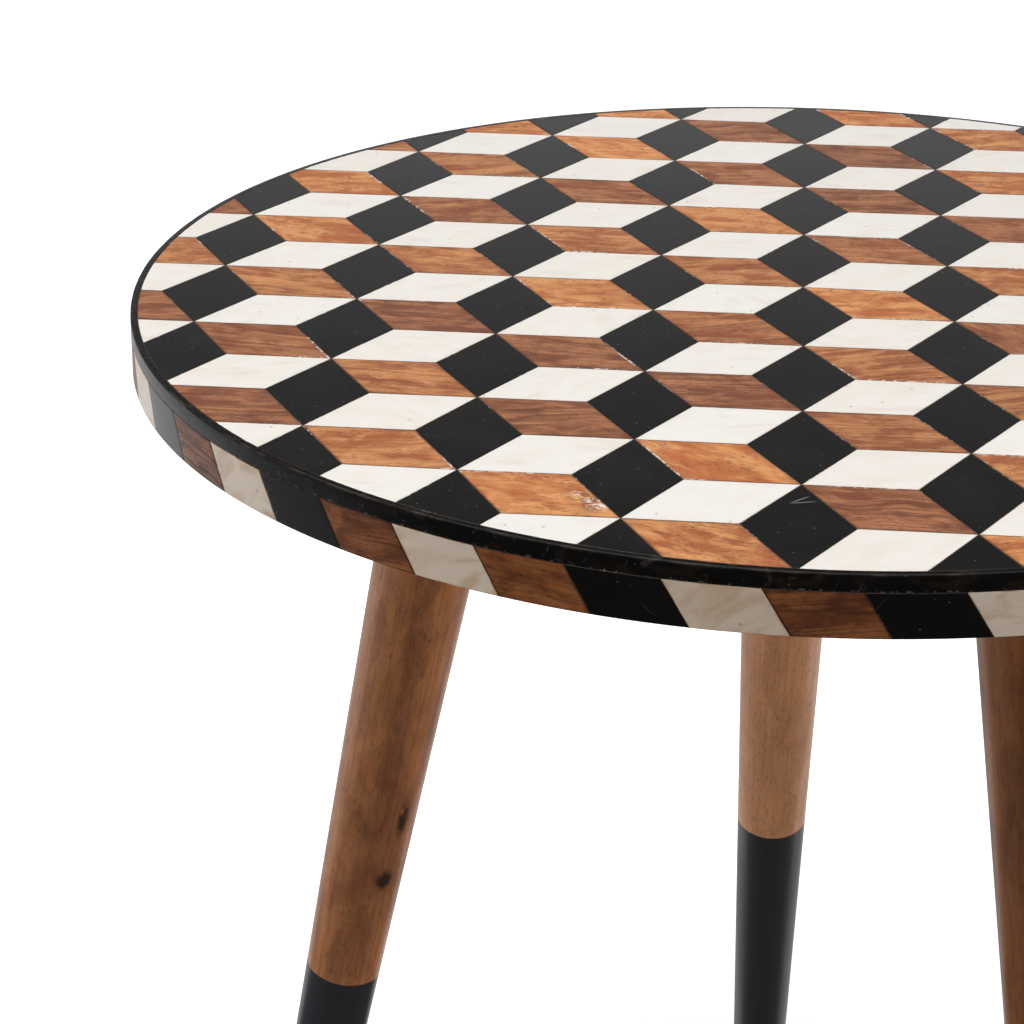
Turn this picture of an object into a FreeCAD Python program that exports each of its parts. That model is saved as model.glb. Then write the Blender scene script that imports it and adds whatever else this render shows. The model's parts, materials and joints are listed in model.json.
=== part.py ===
import FreeCAD, Part

import math
import os

from FreeCAD import Placement, Rotation, Vector

# Round inlaid side table on three splayed, screw-in legs.
# Lengths are in millimetres and angles in degrees. The origin is on the floor below the
# middle of the top, +Z is up and +Y points away from a person who faces the table.

# Overall sizes
TABLE_HEIGHT = 457.0
TOP_DIAMETER = 457.0
TOP_THICKNESS = 19.2

# Tumbling-block inlay of the top face
TILE_SIDE = 33.07
TILE_THICKNESS = 3.0
TILE_JOINT = 0.6
PATTERN_X = -2.7
PATTERN_Y = 4.1
LEAST_TILE_AREA = 6.0

# Rim strip and slanted tiles round the edge
EDGE_THICKNESS = 2.2
RIM_STRIP_HEIGHT = 5.25
EDGE_TILE_COUNT = 52
EDGE_TILE_LEAN = 31.5
EDGE_TILE_JOINT = 0.6
EDGE_FIRST_TILE_AZIMUTH = 243.55

# Legs: unevenly spaced, on one circle round the middle
LEG_CIRCLE_RADIUS = 119.5
LEG_FRONT_AZIMUTH = 305.1
LEG_BACK_AZIMUTH = 90.9
LEG_LEFT_AZIMUTH = 167.6
LEG_SPLAY = 10.84
LEG_TOP_DIAMETER = 41.3
LEG_FOOT_DIAMETER = 21.7
LEG_CHAMFER = 1.0
LEG_TO_PLATE_GAP = 5.0

# Nylon glides under the feet
GLIDE_THICKNESS = 3.0
GLIDE_INSET = 1.0

# Hanger bolts and washers
BOLT_DIAMETER = 8.0
BOLT_WOOD_LENGTH = 35.0
BOLT_CHAMFER = 0.8
BOLT_END_GAP = 0.3
BOLT_HOLE_SPARE = 1.0
THREAD_CLEARANCE = 0.05
WASHER_DIAMETER = 16.0
WASHER_THICKNESS = 1.6
WASHER_CLEARANCE = 0.3

# Leg plates
PLATE_THICKNESS = 2.5
PLATE_MARGIN = 3.0
BOSS_WALL = 4.0
PLATE_SCREW_COUNT = 4
PLATE_SCREW_GAP = 2.0

# Wood screws that hold the plates
SCREW_DIAMETER = 4.5
SCREW_LENGTH = 15.0
SCREW_TIP_LENGTH = 4.0
SCREW_HEAD_DIAMETER = 9.0
SCREW_HEAD_HEIGHT = 2.8
SCREW_HEAD_ROUNDING = 1.4
SCREW_CLEARANCE = 0.05
RECESS_LENGTH = 5.0
RECESS_WIDTH = 1.1
RECESS_DEPTH = 1.4

# Worked out from the sizes above
TOP_RADIUS = TOP_DIAMETER / 2
UNDERSIDE = TABLE_HEIGHT - TOP_THICKNESS
TILE_BOTTOM = TABLE_HEIGHT - TILE_THICKNESS
INLAY_RADIUS = TOP_RADIUS - EDGE_THICKNESS
STRIP_BOTTOM = TABLE_HEIGHT - RIM_STRIP_HEIGHT
CORNER_SPACING = TILE_SIDE * math.sqrt(3)
SPLAY_SINE = math.sin(math.radians(LEG_SPLAY))
SPLAY_COSINE = math.cos(math.radians(LEG_SPLAY))
LEG_AZIMUTHS = [LEG_FRONT_AZIMUTH, LEG_BACK_AZIMUTH, LEG_LEFT_AZIMUTH]
BOLT_RADIUS = BOLT_DIAMETER / 2
BOSS_RADIUS = BOLT_RADIUS + THREAD_CLEARANCE + BOSS_WALL
SCREW_RADIUS = SCREW_DIAMETER / 2
SCREW_HOLE_RADIUS = SCREW_RADIUS + SCREW_CLEARANCE
SCREW_HEAD_RADIUS = SCREW_HEAD_DIAMETER / 2
SCREW_CIRCLE_RADIUS = LEG_TOP_DIAMETER / 2 / SPLAY_COSINE + PLATE_SCREW_GAP + SCREW_HEAD_RADIUS
PLATE_RADIUS = SCREW_CIRCLE_RADIUS + SCREW_HEAD_RADIUS + PLATE_MARGIN

# Stations along a leg's axis, from the underside of the top and down the leg
PLATE_FACE = PLATE_THICKNESS / SPLAY_COSINE
LEG_START = PLATE_FACE + (LEG_TO_PLATE_GAP + LEG_TOP_DIAMETER / 2 * SPLAY_SINE) / SPLAY_COSINE
BOSS_END = LEG_START - WASHER_THICKNESS
BOLT_START = PLATE_FACE - (PLATE_THICKNESS - BOLT_END_GAP - BOLT_RADIUS * SPLAY_SINE) / SPLAY_COSINE
BOLT_END = LEG_START + BOLT_WOOD_LENGTH
FLOOR_STATION = UNDERSIDE / SPLAY_COSINE
LEG_END = FLOOR_STATION + LEG_FOOT_DIAMETER

ABOVE = Vector(0, 0, 1)


def disc(radius, bottom, height):
    return Part.makeCylinder(radius, height, Vector(0, 0, bottom))


def ring(outer, inner, bottom, height):
    return disc(outer, bottom, height).cut(disc(inner, bottom, height))


def export(shape, node):
    shape.exportStep(f"parts/{node}.step")


# Top face inlay

def rhombus(centre, long_direction):
    """Outline of one tile, its sides drawn in by half a joint all round."""
    shrink = 1 - TILE_JOINT / (TILE_SIDE * math.sin(math.radians(60)))
    along = long_direction * (CORNER_SPACING / 2 * shrink)
    across = ABOVE.cross(long_direction) * (TILE_SIDE / 2 * shrink)
    corners = [centre + along, centre + across, centre - along, centre - across]
    return Part.makePolygon(corners + corners[:1])


def tile_directions():
    """Long diagonal of each kind of tile; a six-way corner has one such step to each neighbour."""
    away = Vector(0, 1, 0)
    right_away = Rotation(ABOVE, -60).multVec(away)
    return {"black": away, "white": right_away, "wood": right_away - away}


def corner_positions():
    """Six-way corners of the pattern, as far out as a tile could still reach the inlay."""
    directions = tile_directions()
    row_spacing = CORNER_SPACING * math.cos(math.radians(30))
    reach = math.ceil((INLAY_RADIUS + abs(PATTERN_X) + abs(PATTERN_Y)) / row_spacing) + 1
    for i in range(-reach, reach + 1):
        for j in range(-reach, reach + 1):
            step = directions["black"] * i + directions["white"] * j
            yield Vector(PATTERN_X, PATTERN_Y, TILE_BOTTOM) + step * CORNER_SPACING


def inlay_faces(colour):
    """Flat outlines of the tiles of one colour, cut to the round of the inlay."""
    direction = tile_directions()[colour]
    limit = INLAY_RADIUS - TILE_JOINT
    boundary = Part.Face(Part.Wire(Part.makeCircle(limit, Vector(0, 0, TILE_BOTTOM))))
    faces = []
    for corner in corner_positions():
        centre = corner + direction * (CORNER_SPACING / 2)
        away = math.hypot(centre.x, centre.y)
        if away > limit + CORNER_SPACING / 2:
            continue
        face = Part.Face(rhombus(centre, direction))
        if away > limit - CORNER_SPACING / 2:
            pieces = face.common(boundary).Faces
        else:
            pieces = [face]
        faces.extend(piece for piece in pieces if piece.Area > LEAST_TILE_AREA)
    return faces


def top_inlay():
    """Tiles of each colour, and the resin that fills the joints between all of them."""
    height = ABOVE * TILE_THICKNESS
    nodes = {}
    holes = []
    for colour in tile_directions():
        faces = inlay_faces(colour)
        nodes[f"top_{colour}_tiles"] = Part.makeCompound([face.extrude(height) for face in faces])
        holes.extend(face.OuterWire for face in faces)
    outline = Part.Wire(Part.makeCircle(INLAY_RADIUS, Vector(0, 0, TILE_BOTTOM)))
    bed = Part.Face(outline).cut([Part.Face(wire) for wire in holes])
    nodes["top_joint_resin"] = bed.Faces[0].extrude(height)
    return nodes


# Edge of the top

def rim_strip():
    return ring(TOP_RADIUS, INLAY_RADIUS, STRIP_BOTTOM, RIM_STRIP_HEIGHT)


def edge_tile_block(azimuth):
    """Slanted block that cuts one tile out of the edge band, seen square on from outside."""
    top = STRIP_BOTTOM - EDGE_TILE_JOINT
    middle = (top + UNDERSIDE) / 2
    pitch = 2 * math.pi * TOP_RADIUS / EDGE_TILE_COUNT
    slant = math.tan(math.radians(EDGE_TILE_LEAN))
    joint_across = EDGE_TILE_JOINT / math.cos(math.radians(EDGE_TILE_LEAN))
    half = (pitch - joint_across) / 2

    def corner(side, height):
        sideways = side * half + (middle - height) * slant
        return Vector(INLAY_RADIUS / 2, sideways, height)

    corners = [corner(-1, top), corner(1, top), corner(1, UNDERSIDE), corner(-1, UNDERSIDE)]
    outline = Part.Face(Part.makePolygon(corners + corners[:1]))
    block = outline.extrude(Vector(TOP_RADIUS, 0, 0))
    block.Placement = Placement(Vector(), Rotation(ABOVE, azimuth))
    return block


def edge_band():
    """Slanted edge tiles of each colour, mirrored in order from the first tile, and their joint resin."""
    band = ring(TOP_RADIUS, INLAY_RADIUS, UNDERSIDE, STRIP_BOTTOM - UNDERSIDE)
    order = ["white", "wood", "black"]
    tiles = {colour: [] for colour in order}
    first = -(EDGE_TILE_COUNT // 2)
    for index in range(first, first + EDGE_TILE_COUNT):
        azimuth = EDGE_FIRST_TILE_AZIMUTH + index * 360.0 / EDGE_TILE_COUNT
        tile = band.common(edge_tile_block(azimuth))
        tiles[order[abs(index) % len(order)]].append(tile)
    nodes = {f"edge_{colour}_tiles": Part.makeCompound(solids) for colour, solids in tiles.items()}
    every_tile = [tile for solids in tiles.values() for tile in solids]
    nodes["edge_joint_resin"] = band.cut(every_tile)
    return nodes


# Legs and what holds them

def leg_base(azimuth):
    turn = Rotation(ABOVE, azimuth)
    return turn.multVec(Vector(LEG_CIRCLE_RADIUS, 0, 0)) + Vector(0, 0, UNDERSIDE)


def leg_frame(azimuth):
    """Placement whose origin is where the leg's axis meets the underside, with +Z down the leg."""
    down_the_leg = Rotation(ABOVE, azimuth).multVec(Vector(SPLAY_SINE, 0, -SPLAY_COSINE))
    return Placement(leg_base(azimuth), Rotation(ABOVE, down_the_leg))


def turned(profile):
    """Solid of revolution about Z from (radius, station) points that start and end on the axis."""
    points = [Vector(radius, 0, station) for radius, station in profile]
    return Part.Face(Part.makePolygon(points + points[:1])).revolve(Vector(), ABOVE, 360)


def placed(shape, placement):
    copy = shape.copy()
    copy.Placement = placement
    return copy


def slab_above(height):
    """Everything over a level plane, wide enough for the whole table."""
    width = 2 * TOP_DIAMETER
    return Part.makeBox(width, width, 2 * TABLE_HEIGHT, Vector(-width / 2, -width / 2, height))


def bolt_shape():
    profile = [
        (0, BOLT_START),
        (BOLT_RADIUS - BOLT_CHAMFER, BOLT_START),
        (BOLT_RADIUS, BOLT_START + BOLT_CHAMFER),
        (BOLT_RADIUS, BOLT_END - BOLT_RADIUS),
        (0, BOLT_END),
    ]
    return turned(profile)


def leg(azimuth):
    """Tapered leg, bored for its bolt, with the foot cut level on top of its glide."""
    taper = (LEG_TOP_DIAMETER - LEG_FOOT_DIAMETER) / 2 / (FLOOR_STATION - LEG_START)
    top_radius = LEG_TOP_DIAMETER / 2
    profile = [
        (0, LEG_START),
        (top_radius - LEG_CHAMFER, LEG_START),
        (top_radius - taper * LEG_CHAMFER, LEG_START + LEG_CHAMFER),
        (top_radius - taper * (LEG_END - LEG_START), LEG_END),
        (0, LEG_END),
    ]
    bore_depth = BOLT_WOOD_LENGTH + BOLT_HOLE_SPARE
    bore = Part.makeCylinder(BOLT_RADIUS + THREAD_CLEARANCE, bore_depth, Vector(0, 0, LEG_START))
    blank = turned(profile).cut(bore)
    return placed(blank, leg_frame(azimuth)).common(slab_above(GLIDE_THICKNESS))


def foot_glide(azimuth):
    base = leg_base(azimuth)
    outward = Rotation(ABOVE, azimuth).multVec(Vector(1, 0, 0))
    foot = base + outward * ((UNDERSIDE - GLIDE_THICKNESS) * SPLAY_SINE / SPLAY_COSINE)
    return Part.makeCylinder(LEG_FOOT_DIAMETER / 2 - GLIDE_INSET, GLIDE_THICKNESS, Vector(foot.x, foot.y, 0))


def washer(azimuth):
    hole = BOLT_RADIUS + WASHER_CLEARANCE
    return placed(ring(WASHER_DIAMETER / 2, hole, BOSS_END, WASHER_THICKNESS), leg_frame(azimuth))


def screw_places(azimuth):
    """Centres of a plate's screws on the underside, turned so that none lies in the leg's lean."""
    base = leg_base(azimuth)
    step = 360.0 / PLATE_SCREW_COUNT
    for index in range(PLATE_SCREW_COUNT):
        turn = Rotation(ABOVE, azimuth + (index + 0.5) * step)
        yield base + turn.multVec(Vector(SCREW_CIRCLE_RADIUS, 0, 0))


def leg_plate(azimuth):
    """Flange under the top with a leaning boss, tapped along the leg's axis."""
    base = leg_base(azimuth)
    flange = Part.makeCylinder(PLATE_RADIUS, PLATE_THICKNESS, base - ABOVE * PLATE_THICKNESS)
    start = -PLATE_RADIUS
    boss = Part.makeCylinder(BOSS_RADIUS, BOSS_END - start, Vector(0, 0, start))
    boss = placed(boss, leg_frame(azimuth)).cut(slab_above(UNDERSIDE))
    thread = Part.makeCylinder(BOLT_RADIUS + THREAD_CLEARANCE, 2 * BOSS_END - start, Vector(0, 0, start))
    holes = [placed(thread, leg_frame(azimuth))]
    for place in screw_places(azimuth):
        holes.append(Part.makeCylinder(SCREW_HOLE_RADIUS, PLATE_THICKNESS, place - ABOVE * PLATE_THICKNESS))
    return flange.fuse(boss).removeSplitter().cut(holes)


def screw_shape():
    """Wood screw pointing up, its head's seat at height zero, with a cross recess in the head."""
    shank_profile = [
        (0, 0),
        (SCREW_RADIUS, 0),
        (SCREW_RADIUS, SCREW_LENGTH - SCREW_TIP_LENGTH),
        (0, SCREW_LENGTH),
    ]
    head = Part.makeCylinder(SCREW_HEAD_RADIUS, SCREW_HEAD_HEIGHT, Vector(0, 0, -SCREW_HEAD_HEIGHT))
    low_edges = [edge for edge in head.Edges if edge.BoundBox.ZMax < -SCREW_HEAD_HEIGHT / 2]
    head = head.makeFillet(SCREW_HEAD_ROUNDING, low_edges)
    corner = Vector(-RECESS_LENGTH / 2, -RECESS_WIDTH / 2, -SCREW_HEAD_HEIGHT)
    slot = Part.makeBox(RECESS_LENGTH, RECESS_WIDTH, RECESS_DEPTH, corner)
    cross_slot = placed(slot, Placement(Vector(), Rotation(ABOVE, 90)).multiply(slot.Placement))
    return head.fuse(turned(shank_profile)).removeSplitter().cut([slot, cross_slot])


def plate_screws(azimuth):
    seat = ABOVE * -PLATE_THICKNESS
    screws = [placed(screw_shape(), Placement(place + seat, Rotation())) for place in screw_places(azimuth)]
    return Part.makeCompound(screws)


def top_core():
    """Round board under the inlay, drilled for the plates' screws."""
    board = disc(INLAY_RADIUS, UNDERSIDE, TILE_BOTTOM - UNDERSIDE)
    depth = SCREW_LENGTH - PLATE_THICKNESS + SCREW_CLEARANCE
    holes = []
    for azimuth in LEG_AZIMUTHS:
        for place in screw_places(azimuth):
            holes.append(Part.makeCylinder(SCREW_HOLE_RADIUS, depth, place))
    return board.cut(holes)


def main():
    os.makedirs("parts", exist_ok=True)
    export(top_core(), "top_core")
    export(rim_strip(), "top_rim_strip")
    for nodes in (top_inlay(), edge_band()):
        for node, shape in nodes.items():
            export(shape, node)
    for number, azimuth in enumerate(LEG_AZIMUTHS, start=1):
        export(leg(azimuth), f"leg_{number}")
        export(placed(bolt_shape(), leg_frame(azimuth)), f"leg_bolt_{number}")
        export(washer(azimuth), f"leg_washer_{number}")
        export(leg_plate(azimuth), f"leg_plate_{number}")
        export(plate_screws(azimuth), f"plate_screws_{number}")
        export(foot_glide(azimuth), f"foot_glide_{number}")


main()
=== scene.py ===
import json
import math
import random

import bmesh
import bpy
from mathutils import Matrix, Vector, noise
from mathutils.geometry import delaunay_2d_cdt


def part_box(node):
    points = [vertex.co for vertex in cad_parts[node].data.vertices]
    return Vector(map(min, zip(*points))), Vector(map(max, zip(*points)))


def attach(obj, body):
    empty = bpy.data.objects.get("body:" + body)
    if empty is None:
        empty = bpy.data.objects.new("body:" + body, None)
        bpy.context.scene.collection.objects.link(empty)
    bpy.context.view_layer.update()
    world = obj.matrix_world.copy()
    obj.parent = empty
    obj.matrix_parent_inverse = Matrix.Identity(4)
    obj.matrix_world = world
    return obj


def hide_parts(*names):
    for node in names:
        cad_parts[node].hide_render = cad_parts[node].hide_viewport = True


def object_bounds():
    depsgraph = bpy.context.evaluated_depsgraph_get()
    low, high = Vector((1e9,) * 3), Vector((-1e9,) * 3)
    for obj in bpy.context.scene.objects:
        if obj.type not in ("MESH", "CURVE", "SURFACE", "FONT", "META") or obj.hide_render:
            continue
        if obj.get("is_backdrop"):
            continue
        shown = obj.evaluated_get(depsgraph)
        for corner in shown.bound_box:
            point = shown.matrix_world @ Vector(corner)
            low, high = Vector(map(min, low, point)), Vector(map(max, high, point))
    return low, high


# Round inlaid side table: a tumbling-block top of white, wood and black tiles on three turned legs.
# Lengths are in metres and angles in degrees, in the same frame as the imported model.

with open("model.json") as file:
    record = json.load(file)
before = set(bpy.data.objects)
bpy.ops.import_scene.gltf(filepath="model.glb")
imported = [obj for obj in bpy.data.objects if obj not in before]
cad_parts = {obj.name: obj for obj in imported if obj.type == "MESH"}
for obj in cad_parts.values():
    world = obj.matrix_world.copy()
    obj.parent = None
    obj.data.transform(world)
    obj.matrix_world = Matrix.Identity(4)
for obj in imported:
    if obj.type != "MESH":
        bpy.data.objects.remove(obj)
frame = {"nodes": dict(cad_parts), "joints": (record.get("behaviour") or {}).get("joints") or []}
CAD_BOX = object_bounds()

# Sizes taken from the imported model
STRIP_LOW, STRIP_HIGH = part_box("top_rim_strip")
BOARD_LOW, BOARD_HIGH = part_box("top_core")
TOP_FACE = STRIP_HIGH.z
TOP_RADIUS = STRIP_HIGH.x
STRIP_BOTTOM = STRIP_LOW.z
INLAY_RADIUS = BOARD_HIGH.x
TILE_BOTTOM = BOARD_HIGH.z
UNDERSIDE = BOARD_LOW.z

# Tumbling-block inlay of the top face
TILE_SIDE = 0.03307
TILE_JOINT = 0.0003
TILE_AZIMUTHS = {"black": 90.0, "white": 30.0, "wood": -30.0}
PATTERN_CORNER = Vector((-0.0027, 0.0041))
CORNER_SPACING = TILE_SIDE * math.sqrt(3)
LEAST_TILE_AREA = 6e-6
BLACK_TILE_PINCH = 0.0004
LAYING_ERROR = 0.00015
LAYING_SPREAD = Vector((-0.020, -0.036))
SPREAD_START = -0.155
CUTTING_ERROR = 0.00005
TILE_ROUNDING = 0.0001
TILE_BORDER = 0.07
JOINT_SINK = 0.00006
LOOK_SEED = 119696
GRAIN_SPREAD = 9
CROSS_GRAIN_SHARE = 0.3
CROSS_GRAIN_TURN = 50
STOCK_SIZE = 5
ROUND_CUTS = 720
LEAST_CUT_SIDE = 3 * TILE_ROUNDING
MERGE_DISTANCE = 1e-7
ROUNDING_STEPS = 3

# Rim strip and slanted tiles round the edge
EDGE_TILE_COUNT = 52
EDGE_TILE_LEAN = 31.5
EDGE_TILE_JOINT = 0.0003
EDGE_FIRST_TILE_AZIMUTH = 243.55
EDGE_TILE_STEPS = 8
EDGE_TILE_SMOOTHING = 25
EDGE_GRAIN_SPREAD = 7
EDGE_COLOURS = ("white", "wood", "black")
EDGE_SLOTS = {"white": "white_resin", "wood": "tile_wood", "black": "black_resin"}
STRIP_ROUNDING = 0.0004
STRIP_SIDES = 480
STRIP_WAVE = 0.00007
WAVES_PER_RADIAN = 90
WAVES_PER_METRE = 900
ROUND_SMOOTHING = 40

# Marks on the photographed table: middles with reaches or turns, on the top and along the left leg
CHIPS = (
    (Vector((-0.0600, -0.1884, TOP_FACE)), Vector((0.0056, 0.0062, 0.002))),
    (Vector((-0.0662, -0.1826, TOP_FACE)), Vector((0.0030, 0.0036, 0.002))),
)
RUBBED_PLACE = Vector((-0.0435, -0.1564, TOP_FACE))
RUBBED_REACH = Vector((0.016, 0.022, 0.002))
SCRATCH_REACH = Vector((0.0050, 0.00033, 0.002))
SCRATCHES = (
    (Vector((-0.0022, -0.1810, TOP_FACE)), 16),
    (Vector((-0.0032, -0.1791, TOP_FACE)), 45),
)
LEFT_LEG_KNOTS = (
    (Vector((0.2068, -0.0085, 0.0138)), Vector((0.0115, 0.0034, 0.0034))),
    (Vector((0.2349, -0.0102, 0.0118)), Vector((0.0066, 0.0052, 0.0052))),
)

# Legs and their fittings
LEG_SIDES = 96
LEG_ROWS = 40
LEG_TOP_ROUNDING = 0.0012
LEG_FOOT_ROUNDING = 0.0004
LEG_SMOOTHING = 50
PAINT_STATION = 0.286
GLIDE_ROUNDING = 0.0008
BOLT_SIDES = 48
THREAD_PITCH = 0.00125
THREAD_DEPTH = 0.0007
THREAD_ROWS = 10
BOLT_TOP_SHARE = 0.75
BOLT_POINT_SHARE = 0.15

# Camera, in the place that the photograph was taken from
CAMERA_EYE = Vector((-0.0158, -0.9532, 0.7875))
CAMERA_AIM = Vector((-0.0833, -0.1970, 0.4570))
CAMERA_ROLL = 0.538
CAMERA_LENS = 104.2
CAMERA_SENSOR = 36.0

# Floor that bends up into a wall far round the table; its own glow grows away from the middle, so the
# dimmer middle is a painted shade pool under the table
FLOOR_DROP = 0.0002
FLOOR_RADIUS = 7.0
FLOOR_BEND = 3.0
WALL_HEIGHT = 9.0
FLOOR_SIDES = 96
FLOOR_BEND_STEPS = 12
FLOOR_SMOOTHING = 30
GLOW_START = 0.02
GLOW_END = 0.52
PAINTED_SHADE_GLOW = 0.5
GLOW_FAR = 1.0


def rgb(red, green, blue):
    """Opaque colour, in linear values."""
    return (red, green, blue, 1.0)


# Colours
TOP_WHITE_FRESH = rgb(0.90, 0.875, 0.84)
TOP_WHITE_AGED = rgb(0.85, 0.78, 0.69)
# Edge white is darker and warmer than the top white: painted shade of the side faces; its ochre stain is
# real
SHADED_EDGE_WHITE_FRESH = rgb(0.78, 0.705, 0.62)
SHADED_EDGE_WHITE_AGED = rgb(0.58, 0.42, 0.28)
STAIN = rgb(0.50, 0.32, 0.17)
PIT = rgb(0.34, 0.2, 0.1)
BLACK_DEEP = rgb(0.003, 0.0029, 0.003)
BLACK_HAZY = rgb(0.0045, 0.0044, 0.0045)
SCUFF = rgb(0.36, 0.35, 0.34)
TOP_WOOD_LIGHT = (rgb(0.86, 0.395, 0.145), rgb(0.56, 0.165, 0.046))
TOP_WOOD_DARK = (rgb(0.43, 0.175, 0.078), rgb(0.20, 0.061, 0.026))
# Edge wood is far darker than the top wood: painted shade of the side faces
SHADED_EDGE_WOOD_LIGHT = (rgb(0.39, 0.135, 0.036), rgb(0.19, 0.050, 0.011))
SHADED_EDGE_WOOD_DARK = (rgb(0.27, 0.090, 0.026), rgb(0.12, 0.032, 0.008))
PORE = rgb(0.11, 0.034, 0.014)
# Darker pores for the edge wood: painted shade of the side faces
SHADED_EDGE_PORE = rgb(0.035, 0.010, 0.005)
FLAKE = rgb(0.90, 0.82, 0.76)
FILLER_DARK = rgb(0.018, 0.008, 0.005)
FILLER_BROWN = rgb(0.055, 0.024, 0.013)
RESIDUE = rgb(0.50, 0.43, 0.38)
RIM_BLACK = rgb(0.003, 0.0029, 0.0029)
RIM_BROWN = rgb(0.014, 0.008, 0.0055)
RIM_WORN = rgb(0.10, 0.075, 0.055)
RIM_SCUFF = rgb(0.36, 0.34, 0.32)
LEG_PORE = rgb(0.03, 0.012, 0.006)
KNOT = rgb(0.022, 0.011, 0.007)
PAINT_DARK = rgb(0.023, 0.023, 0.030)
PAINT_LIGHT = rgb(0.035, 0.035, 0.045)
BOARD_LIGHT = rgb(0.36, 0.24, 0.14)
BOARD_DARK = rgb(0.32, 0.21, 0.12)
FIBRE = rgb(0.16, 0.095, 0.05)
COAT_DARK = rgb(0.012, 0.012, 0.012)
COAT_LIGHT = rgb(0.022, 0.022, 0.022)
ZINC_BRIGHT = rgb(0.56, 0.56, 0.54)
ZINC_DULL = rgb(0.42, 0.42, 0.41)
NYLON_BLACK = rgb(0.012, 0.012, 0.012)
NYLON_SCUFF = rgb(0.09, 0.09, 0.09)
FLOOR_DIM = rgb(0.52, 0.52, 0.52)
FLOOR_BRIGHT = rgb(0.54, 0.54, 0.54)
FLOOR_GLOW = rgb(1.0, 1.0, 1.0)
SURROUNDINGS = rgb(0.06, 0.057, 0.054)

# Looks of the legs: pale and deep wood, and knots
LEG_LOOKS = {
    1: (rgb(0.32, 0.123, 0.038), rgb(0.14, 0.046, 0.015), ()),
    2: (rgb(0.66, 0.33, 0.165), rgb(0.45, 0.21, 0.10), ()),
    3: (rgb(0.54, 0.225, 0.087), rgb(0.24, 0.085, 0.030), LEFT_LEG_KNOTS),
}

# Depth of relief and shares of marks on the materials
FINE_RELIEF = 0.00001
RESIN_RELIEF = 0.00002
GRAIN_RELIEF = 0.00004
RIM_RELIEF = 0.00005
TOP_STAIN = 0.16
EDGE_STAIN = 0.9
TOP_LINED = 0.6
EDGE_LINED = 0.72
RIM_WORN_REACH = 0.0009
RIM_WORN_FULL = 0.0001
RIM_CRUMB_REACH = 0.0007
RIM_SPECULAR = 0.32
PAINT_EDGE = 0.0005
PAINT_WAVER = 0.0016
FLOOR_CLOUD = 3.0

# Light
LIGHT_AIM = (0.0, 0.0, 0.4)
SWEEP_LEVEL = -0.03
SWEEP_AIM_LEVEL = 9.0
NEUTRAL = (1.0, 0.99, 0.975)
BLUISH = (0.95, 0.97, 1.0)
COOL = (0.95, 0.98, 1.0)
COOL_WHITE = (0.97, 0.98, 1.0)
WARM_WHITE = (1.0, 0.98, 0.95)
WARM = (1.0, 0.96, 0.92)
PEACH = (1.0, 0.86, 0.74)


# Shapes

def heading(degrees):
    """Level unit vector at an angle from +X."""
    return Vector((math.cos(math.radians(degrees)), math.sin(math.radians(degrees))))


def turned_left(vector):
    return Vector((-vector.y, vector.x))


def outline_area(points):
    return sum(points[index - 1].cross(here) for index, here in enumerate(points)) / 2


def inset(points, distance):
    """Convex outline, counter-clockwise, with every side moved in by the distance."""
    moved = []
    for index, here in enumerate(points):
        first = (here - points[index - 1]).normalized()
        second = (points[(index + 1) % len(points)] - here).normalized()
        inward = turned_left(first) + turned_left(second)
        moved.append(here + inward * (distance / (1 + first.dot(second))))
    return moved


def cut_straight(points, normal, limit):
    """The part of a convex outline that reaches no further than the limit along the normal."""
    kept = []
    for index, here in enumerate(points):
        before = points[index - 1]
        room_before = limit - normal.dot(before)
        room_here = limit - normal.dot(here)
        if room_before * room_here < 0:
            kept.append(before.lerp(here, room_before / (room_before - room_here)))
        if room_here >= 0:
            kept.append(here)
    return kept


def cut_round(points, radius):
    """Convex outline cut to a circle round the origin, without sides too short to round off."""
    if max(point.length for point in points) <= radius:
        return points
    for cut in range(ROUND_CUTS):
        points = cut_straight(points, heading(cut * 360.0 / ROUND_CUTS), radius)
        if not points:
            return []
    return [p for index, p in enumerate(points) if (p - points[index - 1]).length > LEAST_CUT_SIDE]


def rounded_edge(size):
    """(inset, drop) steps round an edge, from the side up on to the face."""
    for step in range(ROUNDING_STEPS + 1):
        angle = math.radians(90.0 * step / ROUNDING_STEPS)
        yield size * (1 - math.cos(angle)), size * (1 - math.sin(angle))


def add_skin(bm, rings, closed=False):
    """Quads between neighbouring rings of as many points each; closed joins the last to the first."""
    rows = [[bm.verts.new(point) for point in ring] for ring in rings]
    pairs = list(zip(rows, rows[1:]))
    if closed:
        pairs.append((rows[-1], rows[0]))
    for low, high in pairs:
        for index in range(len(low)):
            bm.faces.new((low[index - 1], low[index], high[index], high[index - 1]))
    return rows


def add_solid(bm, rings):
    """Skin with a flat cap on its first and last ring."""
    rows = add_skin(bm, rings)
    bm.faces.new(rows[0][::-1])
    bm.faces.new(rows[-1])
    return rows


def cap_across(bm, row):
    """Strip of quads over a ring whose second half runs back beside its first half."""
    last = len(row) - 1
    for index in range(len(row) // 2 - 1):
        bm.faces.new((row[index], row[index + 1], row[last - index - 1], row[last - index]))


def marked_mesh():
    """Empty mesh with a place in the material (grain), a shade (tone) and a nearness to the border."""
    bm = bmesh.new()
    bm.verts.layers.float_vector.new("grain")
    bm.verts.layers.float.new("tone")
    bm.verts.layers.float.new("border")
    layers = bm.verts.layers
    return bm, layers.float_vector["grain"], layers.float["tone"], layers.float["border"]


def drawn_in(points, share):
    """Outline with every point moved a share of the way to the middle."""
    middle = sum(points, Vector((0, 0))) / len(points)
    return [point.lerp(middle, share) for point in points]


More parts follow.
